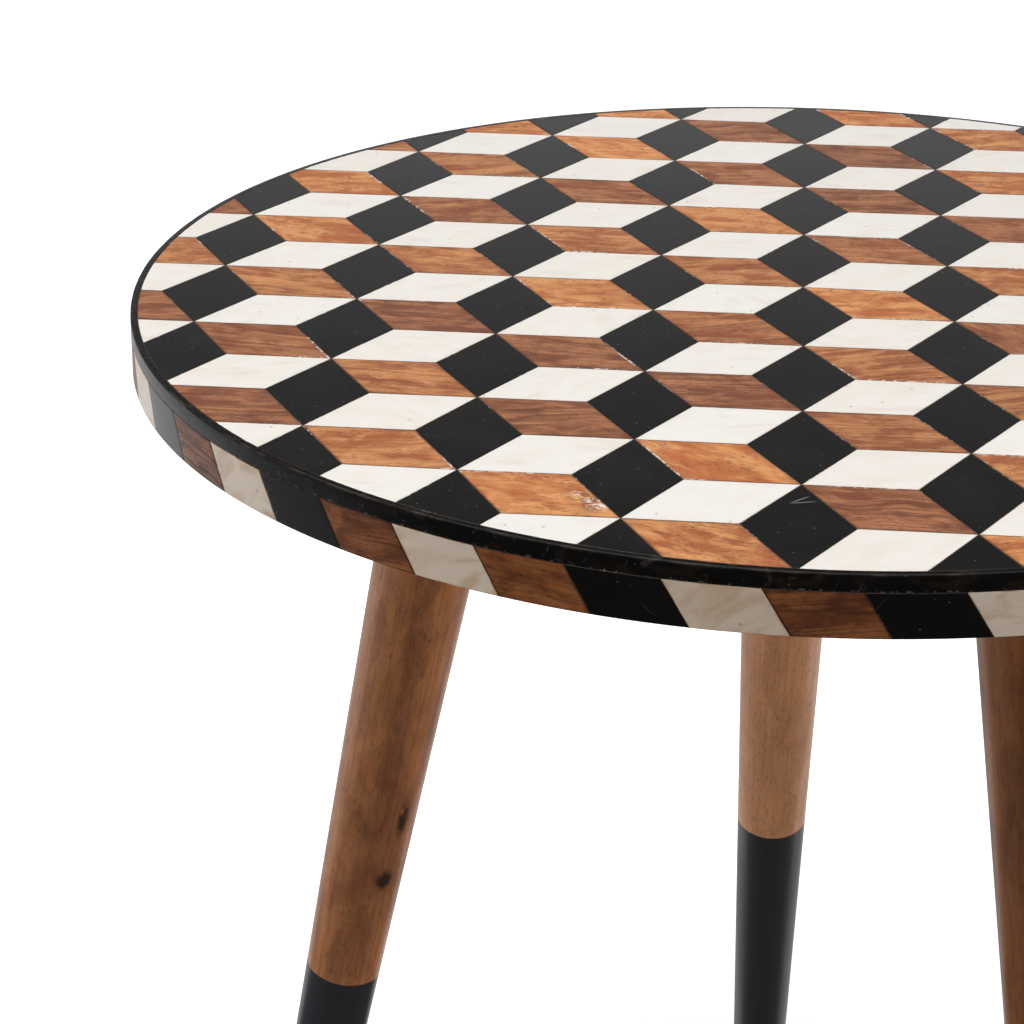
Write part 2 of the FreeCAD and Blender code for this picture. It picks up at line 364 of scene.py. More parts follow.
def piece(name, bm, material, body, slot, replaced, smooth_angle=None):
    """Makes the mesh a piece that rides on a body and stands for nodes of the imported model."""
    bmesh.ops.recalc_face_normals(bm, faces=bm.faces)
    for face in bm.faces:
        face.smooth = smooth_angle is not None
    mesh = bpy.data.meshes.new(name)
    bm.to_mesh(mesh)
    bm.free()
    if smooth_angle is not None:
        mesh.set_sharp_from_angle(angle=math.radians(smooth_angle))
    mesh.materials.append(material)
    made = bpy.data.objects.new(name, mesh)
    bpy.context.scene.collection.objects.link(made)
    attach(made, body)
    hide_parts(*replaced)


# Inlay of the top face

def laid_corner(point):
    """Corner of the pattern as laid by hand, alike for all tiles there; the front rows spread."""
    draw = random.Random(f"corner {round(point.x * 1e4)} {round(point.y * 1e4)}")
    spread = LAYING_SPREAD * max(0.0, SPREAD_START - point.y)
    return point + spread + Vector((draw.gauss(0, LAYING_ERROR), draw.gauss(0, LAYING_ERROR)))


def tile_outline(corner, azimuth, cut):
    """Outline of the tile from a six-way corner along the azimuth, cut to the inlay's round."""
    along = heading(azimuth) * (CORNER_SPACING / 2)
    across = turned_left(heading(azimuth)) * (TILE_SIDE / 2)
    pinch = Vector((BLACK_TILE_PINCH, 0))
    side = -1 if azimuth == TILE_AZIMUTHS["white"] else 1
    centre = corner + along
    points = [centre + along, centre + across, centre - along, centre - across]
    points = [laid_corner(point) for point in points]
    points[1] += pinch * side
    points[3] -= pinch * side
    points = [p + heading(cut.uniform(0, 360)) * cut.gauss(0, CUTTING_ERROR) for p in points]
    return cut_round(inset(points, TILE_JOINT / 2), INLAY_RADIUS - TILE_JOINT)


def pattern_tiles(colour):
    """(outline, random source for its look) of every tile of one colour."""
    azimuth = TILE_AZIMUTHS[colour]
    reach = math.ceil(INLAY_RADIUS / (CORNER_SPACING * math.cos(math.radians(30)))) + 2
    for i in range(-reach, reach + 1):
        for j in range(-reach, reach + 1):
            cut = random.Random(f"cut {colour} {i} {j}")
            look = random.Random(f"{LOOK_SEED} {colour} {i} {j}")
            step = heading(TILE_AZIMUTHS["black"]) * i + heading(TILE_AZIMUTHS["white"]) * j
            outline = tile_outline(PATTERN_CORNER + step * CORNER_SPACING, azimuth, cut)
            if len(outline) > 2 and outline_area(outline) > LEAST_TILE_AREA:
                yield outline, look


def grain_turn(look):
    """Angle of a tile's grain from +X: mostly along its level sides, now and then well off."""
    if look.random() < CROSS_GRAIN_SHARE:
        return look.uniform(-CROSS_GRAIN_TURN, CROSS_GRAIN_TURN)
    return look.gauss(0, GRAIN_SPREAD)


def place_in_stock(draw):
    """Where a tile was cut from its material, so that no two tiles have the same grain."""
    return Vector([draw.uniform(0, STOCK_SIZE) for _ in range(3)])


def inlay_tiles(colour, material, slot):
    bm, grain, tone, border = marked_mesh()
    outlines = []
    for outline, look in pattern_tiles(colour):
        outlines.append(outline)
        rings = [[point.to_3d() + Vector((0, 0, TILE_BOTTOM)) for point in outline]]
        for inward, drop in rounded_edge(TILE_ROUNDING):
            height = Vector((0, 0, TOP_FACE - drop))
            rings.append([point.to_3d() + height for point in inset(outline, inward)])
        field = drawn_in(inset(outline, TILE_ROUNDING), TILE_BORDER)
        rings.append([point.to_3d() + Vector((0, 0, TOP_FACE)) for point in field])
        rows = add_solid(bm, rings)
        shade = look.random()
        along = heading(grain_turn(look))
        start = place_in_stock(look)
        for vertex in (vertex for row in rows for vertex in row):
            level = vertex.co.to_2d()
            place = Vector((level.dot(along), level.dot(turned_left(along)), vertex.co.z))
            vertex[grain] = start + place
            vertex[tone] = shade
            vertex[border] = 1.0
        for vertex in rows[-1]:
            vertex[border] = 0.0
    piece(f"inlay_{colour}", bm, material, "top", slot, [f"top_{colour}_tiles"])
    return outlines


def inlay_joints(outlines, material):
    """Resin in the joints: a disc less every tile, a little below the tile faces."""
    points = [heading(cut * 360.0 / ROUND_CUTS) * INLAY_RADIUS for cut in range(ROUND_CUTS)]
    faces = [list(range(ROUND_CUTS))]
    for outline in outlines:
        faces.append(list(range(len(points), len(points) + len(outline))))
        points.extend(outline)
    places, _, triangles, _, _, owners = delaunay_2d_cdt(points, [], faces, 1, MERGE_DISTANCE)
    bm, grain, _, _ = marked_mesh()
    vertices = [bm.verts.new((place.x, place.y, TILE_BOTTOM)) for place in places]
    for triangle, owner in zip(triangles, owners):
        if owner == [0]:
            bm.faces.new([vertices[index] for index in triangle])
    bmesh.ops.delete(bm, geom=[v for v in bm.verts if not v.link_faces], context="VERTS")
    raised = bmesh.ops.extrude_face_region(bm, geom=bm.faces[:], use_keep_orig=True)["geom"]
    for vertex in (item for item in raised if isinstance(item, bmesh.types.BMVert)):
        vertex.co.z = TOP_FACE - JOINT_SINK
    for vertex in bm.verts:
        vertex[grain] = vertex.co
    piece("inlay_joints", bm, material, "top", "joint_resin", ["top_joint_resin"])


# Edge of the top

def rim_ring(material):
    """Strip round the rim, a little uneven; its tone is the distance out and down from the inlay."""
    corner = TOP_RADIUS - INLAY_RADIUS
    profile = [(INLAY_RADIUS, STRIP_BOTTOM, 0.0), (INLAY_RADIUS, TOP_FACE, 0.0)]
    for inward, drop in reversed(list(rounded_edge(STRIP_ROUNDING))):
        profile.append((TOP_RADIUS - inward, TOP_FACE - drop, corner - inward + drop))
    profile.append((TOP_RADIUS, STRIP_BOTTOM, corner + TOP_FACE - STRIP_BOTTOM))
    bm, grain, tone, _ = marked_mesh()
    rings = []
    for side in range(STRIP_SIDES):
        outward = heading(side * 360.0 / STRIP_SIDES)
        ring = []
        for radius, height, _ in profile:
            wave_place = (outward * WAVES_PER_RADIAN).to_3d() + Vector((0, 0, height * WAVES_PER_METRE))
            wave = abs(noise.noise(wave_place)) * STRIP_WAVE
            reach = radius - wave * (radius > INLAY_RADIUS)
            ring.append((outward * reach).to_3d() + Vector((0, 0, height)))
        rings.append(ring)
    for row in add_skin(bm, rings, closed=True):
        for vertex, (_, _, girth) in zip(row, profile):
            vertex[grain] = vertex.co
            vertex[tone] = girth
    piece("rim_ring", bm, material, "top", "black_resin", ["top_rim_strip"], ROUND_SMOOTHING)


def on_edge(azimuth, point, radius):
    """Place on the round edge: point is (distance round from the azimuth, height)."""
    outward = heading(azimuth + math.degrees(point.x / TOP_RADIUS))
    return (outward * radius).to_3d() + Vector((0, 0, point.y))


def slanted_outline(half_width, top, steps):
    """Slanted edge outline seen from outside: along its bottom to the right, then back along its top."""
    slant = math.tan(math.radians(EDGE_TILE_LEAN))
    middle = (STRIP_BOTTOM - EDGE_TILE_JOINT + UNDERSIDE) / 2
    spread = [half_width * (2 * step / steps - 1) for step in range(steps + 1)]
    low = [Vector((side + (middle - UNDERSIDE) * slant, UNDERSIDE)) for side in spread]
    high = [Vector((side + (middle - top) * slant, top)) for side in spread]
    return low + high[::-1]


def add_edge_block(bm, azimuth, layers):
    """Closed block on the edge through (outline, radius) layers, from the inside out."""
    rows = add_skin(bm, [[on_edge(azimuth, point, radius) for point in ring] for ring, radius in layers])
    cap_across(bm, rows[0][::-1])
    cap_across(bm, rows[-1])
    return rows


def edge_tile(mesh, azimuth, draw):
    bm, grain, tone, border = mesh
    pitch = 2 * math.pi * TOP_RADIUS / EDGE_TILE_COUNT
    joint = EDGE_TILE_JOINT / math.cos(math.radians(EDGE_TILE_LEAN))
    outline = slanted_outline((pitch - joint) / 2, STRIP_BOTTOM - EDGE_TILE_JOINT, EDGE_TILE_STEPS)
    layers = [(outline, INLAY_RADIUS)]
    for inward, drop in rounded_edge(TILE_ROUNDING):
        layers.append((inset(outline, inward), TOP_RADIUS - drop))
    layers.append((drawn_in(inset(outline, TILE_ROUNDING), TILE_BORDER), TOP_RADIUS))
    rows = add_edge_block(bm, azimuth, layers)
    along = heading(draw.gauss(0, EDGE_GRAIN_SPREAD))
    start = place_in_stock(draw)
    shade = draw.random()
    for row, (ring, radius) in zip(rows, layers):
        for vertex, point in zip(row, ring):
            place = Vector((point.dot(along), point.dot(turned_left(along)), radius))
            vertex[grain] = start + place
            vertex[tone] = shade
            vertex[border] = 1.0
    for vertex in rows[-1]:
        vertex[border] = 0.0


def edge_tiles(materials):
    """Slanted tiles, in colours that run the same way out on both sides of the first tile."""
    meshes = {colour: marked_mesh() for colour in EDGE_COLOURS}
    first = -(EDGE_TILE_COUNT // 2)
    for index in range(first, first + EDGE_TILE_COUNT):
        colour = EDGE_COLOURS[abs(index) % len(EDGE_COLOURS)]
        azimuth = EDGE_FIRST_TILE_AZIMUTH + index * 360.0 / EDGE_TILE_COUNT
        edge_tile(meshes[colour], azimuth, random.Random(f"edge {index}"))
    for colour, (bm, _, _, _) in meshes.items():
        replaced = [f"edge_{colour}_tiles"]
        slot = EDGE_SLOTS[colour]
        piece(f"edge_{colour}", bm, materials[colour], "top", slot, replaced, EDGE_TILE_SMOOTHING)


def edge_joints(material):
    """Resin between the edge tiles: a slanted bar at every joint and a thin ring under the rim strip."""
    bm, grain, _, _ = marked_mesh()
    tile_top = STRIP_BOTTOM - EDGE_TILE_JOINT
    face = TOP_RADIUS - JOINT_SINK
    half_width = EDGE_TILE_JOINT / math.cos(math.radians(EDGE_TILE_LEAN)) / 2
    outline = slanted_outline(half_width, tile_top, 1)
    for index in range(EDGE_TILE_COUNT):
        azimuth = EDGE_FIRST_TILE_AZIMUTH + (index + 0.5) * 360.0 / EDGE_TILE_COUNT
        add_edge_block(bm, azimuth, [(outline, INLAY_RADIUS), (outline, face)])
    profile = [(INLAY_RADIUS, tile_top), (face, tile_top)]
    profile += [(face, STRIP_BOTTOM), (INLAY_RADIUS, STRIP_BOTTOM)]
    rings = []
    for side in range(STRIP_SIDES):
        outward = heading(side * 360.0 / STRIP_SIDES)
        rings.append([(outward * radius).to_3d() + Vector((0, 0, height)) for radius, height in profile])
    add_skin(bm, rings, closed=True)
    for vertex in bm.verts:
        vertex[grain] = vertex.co
    piece("edge_joints", bm, material, "top", "joint_resin", ["edge_joint_resin"], ROUND_SMOOTHING)


# Legs and their fittings

class LegFrame:
    """Axis of one leg: base where it meets the underside, down along it, and two directions across."""

    def __init__(self, number):
        joint = next(j for j in frame["joints"] if j["name"] == f"leg_turn_{number}")
        self.base = Vector(joint["pos_m"])
        self.down = Vector(joint["axis"]).normalized()
        self.side = self.down.cross(Vector((0, 0, 1))).normalized()
        self.front = self.down.cross(self.side)

    def across(self, turn):
        """Unit vector across the leg at a turn round it, in radians."""
        return self.side * math.cos(turn) + self.front * math.sin(turn)

    def local(self, point):
        """(station along the leg, sideways, forwards) of a point."""
        away = point - self.base
        return Vector((away.dot(self.down), away.dot(self.side), away.dot(self.front)))

    def reach(self, node):
        """(station, radius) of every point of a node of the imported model."""
        found = [self.local(vertex.co) for vertex in frame["nodes"][node].data.vertices]
        return [(place.x, place.yz.length) for place in found]


def leg_taper(leg, node):
    """(first station, radius there, radius lost per metre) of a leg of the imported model."""
    reach = leg.reach(node)
    start = min(station for station, _ in reach)
    thick_station, thick = max(reach, key=lambda pair: pair[1])
    foot_station, foot = max(reach)
    taper = (thick - foot) / (foot_station - thick_station)
    return start, thick + taper * (thick_station - start), taper


def leg_piece(name, number, rings, place_of, material, slot, replaced, smooth_angle=ROUND_SMOOTHING):
    """Solid through rings of points, on a leg's body; place_of gives a point's place in the material."""
    bm, grain, _, _ = marked_mesh()
    add_solid(bm, rings)
    for vertex in bm.verts:
        vertex[grain] = place_of(vertex.co)
    body = f"leg_body_{number}"
    piece(f"{name}_{number}", bm, material, body, slot, [f"{replaced}_{number}"], smooth_angle)


def turned_leg(number, material):
    """Tapered leg with a rounded top edge and a foot cut level, marked with its place in the wood."""
    leg = LegFrame(number)
    start, radius, taper = leg_taper(leg, f"leg_{number}")
    foot_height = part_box(f"leg_{number}")[0].z
    turns = [2 * math.pi * side / LEG_SIDES for side in range(LEG_SIDES)]

    def foot_station(turn):
        rise = leg.across(turn).z
        drop = foot_height - leg.base.z - (radius + taper * start) * rise
        return drop / (leg.down.z - taper * rise)

    def ring(share, inward, drop):
        points = []
        for turn in turns:
            station = start + (foot_station(turn) - start) * share + drop
            reach = radius - taper * (station - start) - inward
            points.append(leg.base + leg.down * station + leg.across(turn) * reach)
        return points

    rings = [ring(0, inward, drop) for inward, drop in rounded_edge(LEG_TOP_ROUNDING)][::-1]
    for row in range(1, LEG_ROWS + 1):
        rings.append(ring(row / LEG_ROWS, 0, -LEG_FOOT_ROUNDING if row == LEG_ROWS else 0))
    rings.append(ring(1, LEG_FOOT_ROUNDING, 0))
    leg_piece("turned_leg", number, rings, leg.local, material, "leg_wood", "leg", LEG_SMOOTHING)


def hanger_bolt(number, material):
    """Bolt with a cut thread from end to end; the thread runs out at its ends."""
    leg = LegFrame(number)
    reach = leg.reach(f"leg_bolt_{number}")
    start = min(station for station, _ in reach)
    end = max(station for station, _ in reach)
    crest = max(radius for _, radius in reach)
    count = math.ceil((end - start) / THREAD_PITCH * THREAD_ROWS)
    rings = []
    for row in range(count + 1):
        station = start + (end - start) * row / count
        from_top = (station - start) / crest
        from_point = (end - station) / crest
        fade = min(1.0, from_top + BOLT_TOP_SHARE, from_point + BOLT_POINT_SHARE)
        ring = []
        for side in range(BOLT_SIDES):
            turn = 2 * math.pi * side / BOLT_SIDES
            phase = (station / THREAD_PITCH - side / BOLT_SIDES) % 1.0
            radius = (crest - THREAD_DEPTH * (1 - abs(2 * phase - 1))) * fade
            ring.append(leg.base + leg.down * station + leg.across(turn) * radius)
        rings.append(ring)
    leg_piece("hanger_bolt", number, rings, leg.local, material, "screw_steel", "leg_bolt")


def foot_glide(number, material):
    """Round nylon glide with a rounded lower edge."""
    low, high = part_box(f"foot_glide_{number}")
    centre = (low + high) / 2
    radius = (high.x - low.x) / 2
    rings = []
    profile = [(radius - inward, low.z + drop) for inward, drop in rounded_edge(GLIDE_ROUNDING)][::-1]
    for reach, height in profile + [(radius, high.z)]:
        ring = []
        for side in range(LEG_SIDES):
            outward = heading(side * 360.0 / LEG_SIDES) * reach
            ring.append(Vector((centre.x + outward.x, centre.y + outward.y, height)))
        rings.append(ring)
    leg_piece("nylon_glide", number, rings, Vector, material, "glide_nylon", "foot_glide")


# Materials

class Surface:
    """A material's node tree, with short ways to add the nodes used here."""

    def __init__(self, name):
        self.material = bpy.data.materials.new(name)
        self.material.use_nodes = True
        self.tree = self.material.node_tree
        self.shader = self.tree.nodes["Principled BSDF"]

    def node(self, kind, inputs, **settings):
        made = self.tree.nodes.new("ShaderNode" + kind)
        for name, value in settings.items():
            setattr(made, name, value)
        for key, value in inputs.items():
            self.feed(made.inputs[key], value)
        return made

    def feed(self, socket, value):
        """Links another node's output to the socket, or sets the socket's own value."""
        if isinstance(value, bpy.types.NodeSocket):
            self.tree.links.new(value, socket)
        else:
            socket.default_value = value

    def grain(self):
        """Place in the material, in metres, with X along the grain."""
        return self.node("Attribute", {}, attribute_name="grain").outputs["Vector"]

    def tone(self):
        """Shade of the tile, from 0 to 1; on the rim strip, metres out and down from the inlay."""
        return self.node("Attribute", {}, attribute_name="tone").outputs["Fac"]

    def border(self):
        """1 at the tile's outline, 0 in its field."""
        return self.node("Attribute", {}, attribute_name="border").outputs["Fac"]

    def object_place(self):
        return self.node("TexCoord", {}).outputs["Object"]

    def round_place(self):
        """Place on the rim: distance round from the front, then height."""
        parts = self.node("SeparateXYZ", {"Vector": self.object_place()}).outputs
        turn = self.math("ARCTAN2", parts["X"], self.times(parts["Y"], -1.0))
        inputs = {"X": self.times(turn, TOP_RADIUS), "Y": parts["Z"], "Z": 0.0}
        return self.node("CombineXYZ", inputs).outputs["Vector"]

    def in_cells(self, place, cell, turn=0.0):
        """Place counted in cells of a size along, across and in depth, turned from the grain."""
        size = (cell, cell, cell) if isinstance(cell, float) else cell
        inputs = {"Vector": place, "Rotation": (0.0, 0.0, math.radians(turn)), "Scale": size}
        return self.node("Mapping", inputs, vector_type="TEXTURE").outputs["Vector"]

    def cloud(self, place, cell, detail=2.0, distortion=0.0):
        """Soft noise from 0 to 1 with features about as large as a cell."""
        inputs = {
            "Vector": self.in_cells(place, cell),
            "Scale": 1.0,
            "Detail": detail,
            "Distortion": distortion,
        }
        return self.node("TexNoise", inputs).outputs["Fac"]

    def swayed(self, place, cell, reach):
        """Place shifted softly across the grain, so that lines along it sway."""
        drift = self.times(self.cloud(place, cell, 1.0), reach)
        shift = self.node("CombineXYZ", {"X": 0.0, "Y": drift, "Z": 0.0}).outputs["Vector"]
        return self.node("VectorMath", {0: place, 1: shift}, operation="ADD").outputs["Vector"]

    def dots(self, place, cell, reach, share, turn=0.0):
        """A soft dot in a share of the cells, its radius in cells: long cells give scratches."""
        inputs = {"Vector": self.in_cells(place, cell, turn), "Scale": 1.0}
        cells = self.node("TexVoronoi", inputs, voronoi_dimensions="2D")
        near = self.between(cells.outputs["Distance"], reach, 0.4 * reach)
        lot = self.node("SeparateColor", {"Color": cells.outputs["Color"]}).outputs["Red"]
        return self.times(near, self.math("LESS_THAN", lot, share))

    def scratches(self, place, share):
        """Fine straight scratches in two directions."""
        first = self.dots(place, (0.045, 0.0007, 1.0), 0.14, share, 32)
        second = self.dots(place, (0.034, 0.0006, 1.0), 0.14, share, 151)
        return self.most(first, second)

    def spot(self, place, centre, reach, turn=0.0):
        """1 at a place, down to 0 at its reach along and across a turned direction."""
        away = self.node("VectorMath", {0: place, 1: centre}, operation="SUBTRACT").outputs["Vector"]
        parts = self.in_cells(away, reach, turn)
        distance = self.node("VectorMath", {0: parts}, operation="LENGTH").outputs["Value"]
        return self.between(distance, 1.0, 0.35)

    def between(self, value, low, high, to_low=0.0, to_high=1.0):
        """Value carried from low..high to another range, with soft ends."""
        inputs = {"Value": value, "From Min": low, "From Max": high, "To Min": to_low, "To Max": to_high}
        return self.node("MapRange", inputs, interpolation_type="SMOOTHSTEP").outputs["Result"]

    def math(self, operation, first, second=0.0):
        return self.node("Math", {0: first, 1: second}, operation=operation).outputs[0]

    def times(self, first, second):
        return self.math("MULTIPLY", first, second)

    def plus(self, first, second):
        return self.math("ADD", first, second)

    def most(self, first, second):
        return self.math("MAXIMUM", first, second)

    def mixed(self, share, first, second):
        """Colour between first and second."""
        inputs = {0: share, 6: first, 7: second}
        return self.node("Mix", inputs, data_type="RGBA").outputs[2]

    def bump(self, height, depth):
        """Normal for a relief whose height of 1 stands that many metres proud."""
        inputs = {"Height": height, "Distance": depth, "Strength": 1.0}
        self.feed(self.shader.inputs["Normal"], self.node("Bump", inputs).outputs["Normal"])

    def finish(self, colour, roughness, **fixed):
        """Feeds the shader; fixed are values that are the same all over."""
        self.feed(self.shader.inputs["Base Color"], colour)
        self.feed(self.shader.inputs["Roughness"], roughness)
        for name, value in fixed.items():
            self.shader.inputs[name.replace("_", " ")].default_value = value
        return self.material


def white_resin(name, fresh, aged, stain):
    """Bone-white resin: warm clouds, ochre streaks and border that grow with the stain, a few pits."""
    s = Surface(name)
    place = s.grain()
    clouds = s.between(s.cloud(s.in_cells(place, 1.0, 35), (0.018, 0.007, 0.008), 3.0, 0.8), 0.42, 0.7)
    age = s.plus(s.times(clouds, 0.28 + 0.37 * stain), s.times(s.tone(), 0.3))
    colour = s.mixed(age, fresh, aged)
    patches = s.between(s.cloud(place, (0.016, 0.012, 0.012), 1.0), 0.42, 0.66)
    streaks = s.times(s.between(s.cloud(place, (0.026, 0.004, 0.006), 3.0, 0.8), 0.46, 0.74), patches)
    fringe = s.times(s.between(s.border(), 0.35, 1.0), s.between(s.cloud(place, 0.006, 2.0), 0.35, 0.65))
    colour = s.mixed(s.times(s.most(streaks, fringe), stain), colour, STAIN)
    pits = s.dots(place, 0.010, 0.06, 0.08)
    colour = s.mixed(s.times(pits, 0.6), colour, PIT)
    s.bump(s.plus(s.cloud(place, (0.003, 0.001, 0.002), 2.0), s.times(pits, -2.0)), RESIN_RELIEF)
    roughness = s.between(s.cloud(place, (0.008, 0.0025, 0.005), 2.0), 0.3, 0.7, 0.3, 0.42)
    return s.finish(colour, roughness)


def black_resin(name):
    """Black resin: dust caught in the surface and a few fine scratches; two scratches go deep."""
    s = Surface(name)
    place = s.grain()
    haze = s.between(s.cloud(place, 0.025, 3.0), 0.35, 0.7)
    colour = s.mixed(haze, BLACK_DEEP, BLACK_HAZY)
    fine = s.times(s.scratches(place, 0.012), 0.3)
    fine_dust = s.times(s.dots(place, 0.004, 0.06, 0.1), 0.5)
    dust = s.most(s.dots(place, 0.0085, 0.032, 0.2), fine_dust)
    marks = s.most(fine, dust)
    for centre, turn in SCRATCHES:
        deep = s.times(s.spot(s.object_place(), centre, SCRATCH_REACH, turn), 1.5)
        marks = s.most(marks, deep)
    colour = s.mixed(s.times(marks, 0.4), colour, SCUFF)
    s.bump(s.times(marks, -1.0), FINE_RELIEF)
    roughness = s.between(s.plus(s.times(haze, 0.4), marks), 0.0, 1.4, 0.24, 0.4)
    return s.finish(colour, roughness)


def chipped(s, colour, smudge, chips):
    """(colour, relief) with pale flakes at chips and along rubbed borders, and smudges round chips."""
    place = s.object_place()
    rubbed = s.between(s.cloud(place, 0.030, 1.0), 0.59, 0.67)
    rubbed = s.most(rubbed, s.spot(place, RUBBED_PLACE, RUBBED_REACH))
    broken = s.times(rubbed, s.between(s.border(), 0.1, 0.9))
    dirt = s.between(s.cloud(place, 0.003, 2.0), 0.4, 0.6)
    for centre, reach in chips:
        around = s.times(s.spot(place, centre, reach * 1.6), dirt)
        colour = s.mixed(s.times(around, 0.65), colour, smudge)
        broken = s.most(broken, s.spot(place, centre, reach))
    flakes = s.times(broken, s.between(s.cloud(place, 0.0014, 3.0), 0.49, 0.56))
    return s.mixed(s.times(flakes, 0.85), colour, FLAKE), flakes


def inlay_wood(name, light, dark, pore, lined, chips=()):
    """Oiled hardwood tile: its own shade between light and dark, each a pair of honey and russet colours
    that the figure runs between; straight or swaying grain, fine lines and short pores."""
    s = Surface(name)
    kind = s.cloud(s.grain(), 0.6)
    place = s.swayed(s.grain(), 0.022, s.between(kind, 0.42, 0.6, 0.002, 0.007))
    figure = s.cloud(place, (0.024, 0.006, 0.006), 3.0, 0.5)
    blotch = s.cloud(place, (0.010, 0.006, 0.006), 2.0, 0.8)
    russet = s.between(s.plus(figure, blotch), 0.78, 1.22)
    colour = s.mixed(s.tone(), s.mixed(russet, *light), s.mixed(russet, *dark))
    lines = s.between(s.cloud(place, (0.040, 0.0011, 0.0011), 2.0, 0.3), 0.47, 0.61)
    colour = s.mixed(s.times(lines, s.between(s.tone(), 0.0, 1.0, 0.2 * lined, lined)), colour, pore)
    crowd = s.between(s.cloud(place, (0.014, 0.008, 0.008), 1.0), 0.34, 0.6, 0.15, 1.0)
    pores = s.times(s.between(s.cloud(place, (0.0019, 0.00055, 0.00055), 2.0), 0.51, 0.67), crowd)
    colour = s.mixed(s.times(pores, 1.25 - lined), colour, pore)
    colour = s.mixed(s.times(s.between(s.border(), 0.3, 1.0), 0.6), colour, pore)
    relief = s.times(s.plus(pores, s.times(lines, 0.2)), -1.0)
    if chips:
        colour, flakes = chipped(s, colour, pore, chips)
        relief = s.plus(relief, flakes)
    s.bump(relief, GRAIN_RELIEF)
    roughness = s.between(s.plus(figure, pores), 0.0, 1.6, 0.34, 0.5)
    return s.finish(colour, roughness)


def joint_resin(name):
    """Dark brown filler, with pale residue left in some stretches."""
    s = Surface(name)
    place = s.grain()
    mottle = s.between(s.cloud(place, 0.0025, 2.0), 0.35, 0.65)
    colour = s.mixed(mottle, FILLER_DARK, FILLER_BROWN)
    patch = s.between(s.cloud(place, 0.022, 1.0), 0.56, 0.63)
    crumbs = s.between(s.cloud(place, 0.0014, 1.0), 0.5, 0.6)
    residue = s.times(patch, crumbs)
    colour = s.mixed(residue, colour, RESIDUE)
    s.bump(s.plus(mottle, residue), GRAIN_RELIEF)
    return s.finish(colour, s.between(mottle, 0.0, 1.0, 0.5, 0.7))


def rim_resin(name):
    """Black strip: dull, brownish corner, smudges, scratches across it and crumbs at its foot."""
    s = Surface(name)
    place = s.grain()
    wrapped = s.round_place()
    girth = s.tone()
    corner = TOP_RADIUS - INLAY_RADIUS
    foot = corner + TOP_FACE - STRIP_BOTTOM
    brown = s.between(s.cloud(place, (0.010, 0.010, 0.004), 3.0, 0.6), 0.5, 0.72)
    colour = s.mixed(brown, RIM_BLACK, RIM_BROWN)
    from_corner = s.math("ABSOLUTE", s.math("SUBTRACT", girth, corner))
    corner_zone = s.between(from_corner, RIM_WORN_REACH, RIM_WORN_FULL)
    worn = s.times(corner_zone, s.between(s.cloud(place, 0.007, 3.0), 0.45, 0.65))
    colour = s.mixed(s.times(worn, 0.35), colour, RIM_WORN)
    foot_zone = s.between(girth, foot - RIM_CRUMB_REACH, foot)
    crumbs = s.times(foot_zone, s.between(s.cloud(place, 0.0017, 1.0), 0.58, 0.66))
    smudges = s.times(s.between(s.cloud(place, 0.005, 3.0, 1.0), 0.6, 0.72), 0.22)
    dust = s.dots(wrapped, 0.006, 0.045, 0.22)
    across = s.times(s.dots(wrapped, (0.010, 0.0007, 1.0), 0.16, 0.06, 70), 0.4)
    marks = s.most(s.most(crumbs, smudges), s.most(dust, across))
    colour = s.mixed(s.times(marks, 0.3), colour, RIM_SCUFF)
    ripple = s.cloud(place, (0.004, 0.004, 0.0015), 2.0)
    s.bump(s.plus(ripple, s.times(marks, -0.5)), RIM_RELIEF)
    roughness = s.between(s.plus(ripple, marks), 0.3, 1.3, 0.26, 0.45)
    roughness = s.plus(roughness, s.times(corner_zone, 0.35))
    return s.finish(colour, roughness, Specular_IOR_Level=RIM_SPECULAR)


def leg_wood(name, pale, deep, knots):
    """Stained turned hardwood under satin lacquer; below the paint line a coat of black."""
    s = Surface(name)
    place = s.grain()
    figure = s.between(s.cloud(place, (0.14, 0.014, 0.014), 3.0, 1.2), 0.32, 0.7)
    mottle = s.between(s.cloud(place, (0.020, 0.009, 0.009), 3.0, 0.8), 0.38, 0.66)
    colour = s.mixed(s.plus(s.times(figure, 0.55), s.times(mottle, 0.42)), pale, deep)
    lines = s.between(s.cloud(place, (0.11, 0.0016, 0.0016), 2.0), 0.45, 0.68)
    colour = s.mixed(s.times(lines, 0.35), colour, deep)
    pores = s.between(s.cloud(place, (0.0032, 0.00045, 0.00045), 1.0), 0.58, 0.67)
    colour = s.mixed(s.times(pores, 0.35), colour, LEG_PORE)
    for centre, reach in knots:
        warped = s.times(s.spot(place, centre, reach), s.between(s.cloud(place, 0.004, 2.0), 0.25, 0.5))
        colour = s.mixed(s.times(s.spot(place, centre, reach * 2.2), 0.45), colour, deep)
        colour = s.mixed(s.times(warped, 0.9), colour, KNOT)
    station = s.node("SeparateXYZ", {"Vector": place}).outputs["X"]
    waver = s.times(s.cloud(place, 0.016, 1.0), PAINT_WAVER)
    painted = s.between(s.plus(station, waver), PAINT_STATION, PAINT_STATION + PAINT_EDGE)
    brushed = s.cloud(place, (0.025, 0.0014, 0.0014), 2.0)
    paint = s.mixed(brushed, PAINT_DARK, PAINT_LIGHT)
    colour = s.mixed(painted, colour, paint)
    bare = s.times(s.plus(pores, s.times(lines, 0.3)), s.math("SUBTRACT", 1.0, painted))
    s.bump(s.math("SUBTRACT", s.times(painted, s.plus(0.8, s.times(brushed, 0.4))), bare), GRAIN_RELIEF)
    roughness = s.between(s.plus(figure, s.times(brushed, 0.5)), 0.0, 1.5, 0.32, 0.46)
    return s.finish(colour, roughness)


